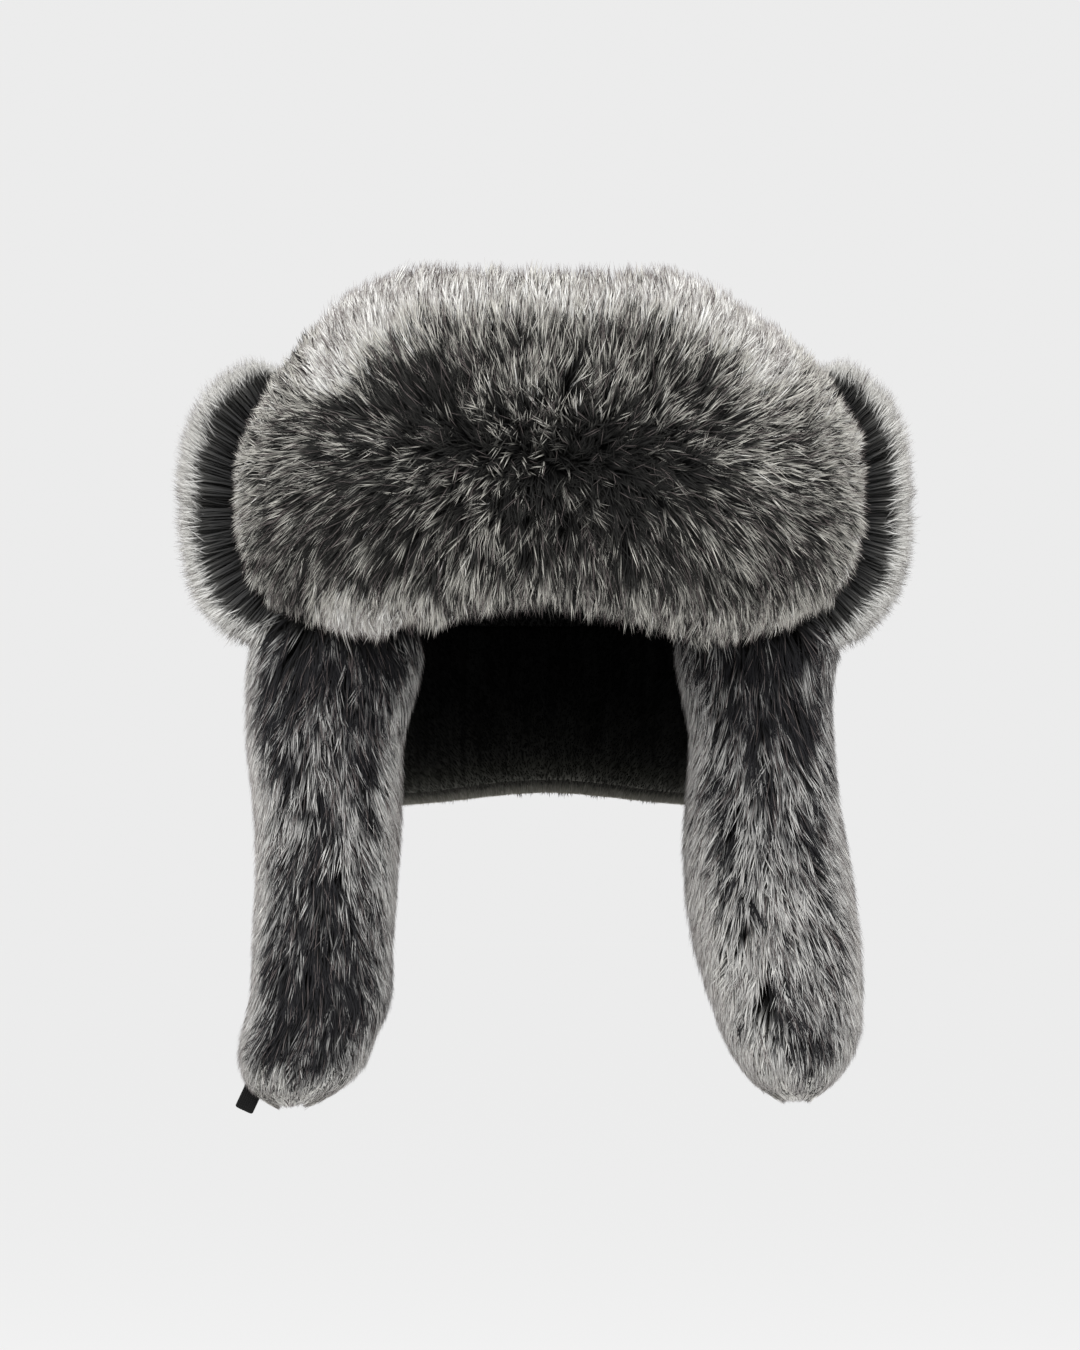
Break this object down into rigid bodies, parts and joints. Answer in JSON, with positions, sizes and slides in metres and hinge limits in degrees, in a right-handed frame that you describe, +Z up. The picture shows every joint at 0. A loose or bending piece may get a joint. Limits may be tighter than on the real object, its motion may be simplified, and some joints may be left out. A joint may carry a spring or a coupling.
{
  "type": "ushanka",
  "caption": "Fur ushanka with a turned-up front flap, a fur cuff round a cloth crown, a neck flap and long ear flaps hanging down.",
  "frame": {"origin": "middle of the head opening, 2 mm above the crown's lower edge at its sides and back", "axes": "+Z up through the crown, -Y out through the front flap, +X towards the right of the picture"},
  "size_m": [0.3019, 0.295, 0.3544],
  "materials": {
    "crown_cloth": "black twill, matte",
    "grey_fur": "deep fur, near-black at the root and light grey at the tip",
    "dark_fur": "deep fur, darker grey-brown",
    "plush": "short black plush",
    "webbing": "woven webbing, slightly shiny"
  },
  "bodies": {
    "root": {"crown_front_left": "crown_cloth", "crown_front_right": "crown_cloth", "crown_back_left": "crown_cloth", "crown_back_right": "crown_cloth", "front_flap_facing": "crown_cloth", "front_flap_fur": "grey_fur", "cuff_fur": "grey_fur", "neck_flap": "plush", "neck_fur": "dark_fur", "ear_flap_left": "grey_fur", "ear_flap_right": "grey_fur", "strap_end": "webbing"}
  },
  "joints": []
}
